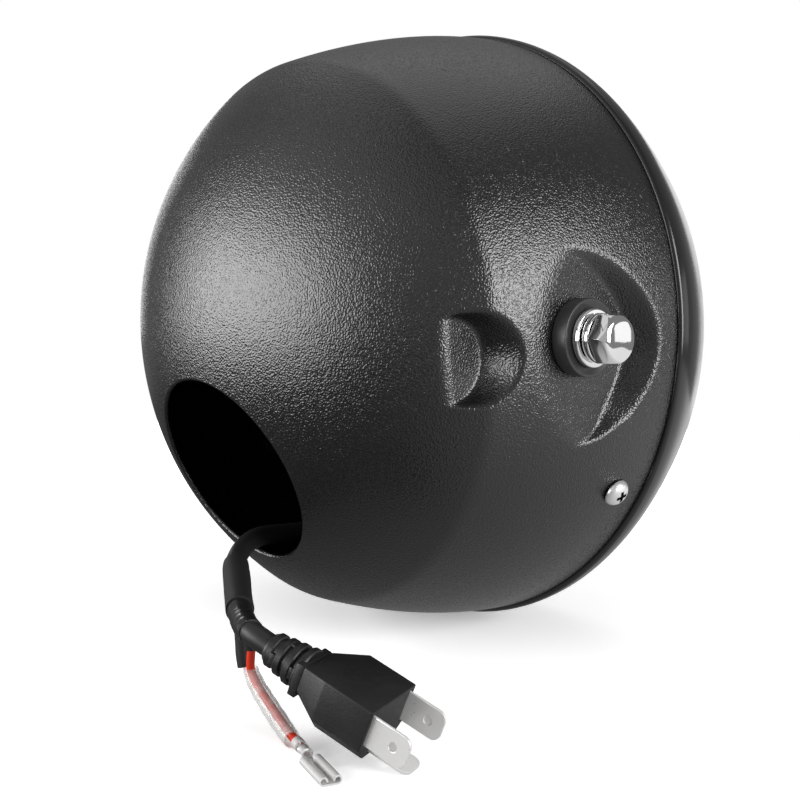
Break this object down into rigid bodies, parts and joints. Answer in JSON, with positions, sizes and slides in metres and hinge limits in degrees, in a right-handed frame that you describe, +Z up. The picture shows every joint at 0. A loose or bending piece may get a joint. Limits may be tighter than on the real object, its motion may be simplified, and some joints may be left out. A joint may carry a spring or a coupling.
{
  "type": "motorcycle headlight",
  "caption": "Round black motorcycle headlight: pressed metal bucket with trim ring, LED lamp, side mounting bolts and a rear wire opening with plug-in lead.",
  "frame": {"origin": "middle of the side bolt line, which is also the centre of the body's bounding box without the lead", "axes": "lens looks along -Y, bucket closes toward +Y, +Z is up, the side bolts lie on the X axis"},
  "size_m": [0.2127, 0.161, 0.201],
  "materials": {
    "textured_black": "fine wrinkle powder coat",
    "satin_black": "smooth satin black",
    "clear_lens": "clear hard-coated lens",
    "black_rubber": "matt",
    "cast_black": "black anodised casting",
    "gloss_black": "gloss",
    "projector_glass": "polished",
    "dark_metal": "satin",
    "mirror_bowl": "vapour plated",
    "light_guide": "milky translucent",
    "circuit_board": "solder mask",
    "phosphor": "silicone dome",
    "black_plastic": "moulded",
    "plated_steel": "zinc plated",
    "bright_steel": "stainless",
    "polished_chrome": "polished",
    "cable_jacket": "smooth",
    "shrink_sleeve": "satin",
    "red_insulation": "smooth",
    "clear_tube": "soft clear tube",
    "tinned_metal": "tin plated"
  },
  "bodies": {
    "root": {"bucket_shell": "textured_black", "trim_ring": "satin_black", "lens": "clear_lens", "lens_seal": "black_rubber", "rubber_spacer_right": "black_rubber", "rubber_spacer_left": "black_rubber", "lamp_housing": "cast_black", "inner_bezel": "gloss_black", "projector_lens_upper": "projector_glass", "projector_lens_lower": "projector_glass", "projector_tube_upper": "dark_metal", "projector_tube_lower": "dark_metal", "reflector_right": "mirror_bowl", "reflector_left": "mirror_bowl", "halo_light_guide": "light_guide", "led_board": "circuit_board", "led_chips": "phosphor", "breather_vent": "black_plastic", "cable_gland": "black_plastic", "plug_boot": "black_plastic", "plug_body": "black_plastic", "retaining_ring": "plated_steel", "mounting_ring": "plated_steel", "aim_screw_top": "plated_steel", "aim_screw_side": "plated_steel", "pivot_screw": "plated_steel", "aim_spring_top": "plated_steel", "aim_spring_side": "plated_steel", "pivot_spring": "plated_steel", "trim_nut_right": "plated_steel", "trim_nut_left": "plated_steel", "bolt_nut_right": "plated_steel", "bolt_nut_left": "plated_steel", "trim_screw_right": "bright_steel", "trim_screw_left": "bright_steel", "side_bolt_right": "polished_chrome", "side_bolt_left": "polished_chrome", "flat_washer_right": "polished_chrome", "flat_washer_left": "polished_chrome", "spring_washer_right": "polished_chrome", "spring_washer_left": "polished_chrome", "lamp_lead": "cable_jacket", "plug_tail": "cable_jacket", "lead_sleeve": "shrink_sleeve", "split_sleeve": "shrink_sleeve", "stub_sleeve": "shrink_sleeve", "red_wire": "red_insulation", "clear_sleeve": "clear_tube", "plug_blade_near": "tinned_metal", "plug_blade_far": "tinned_metal", "plug_blade_cross": "tinned_metal", "spade_terminal": "tinned_metal"}
  },
  "joints": []
}
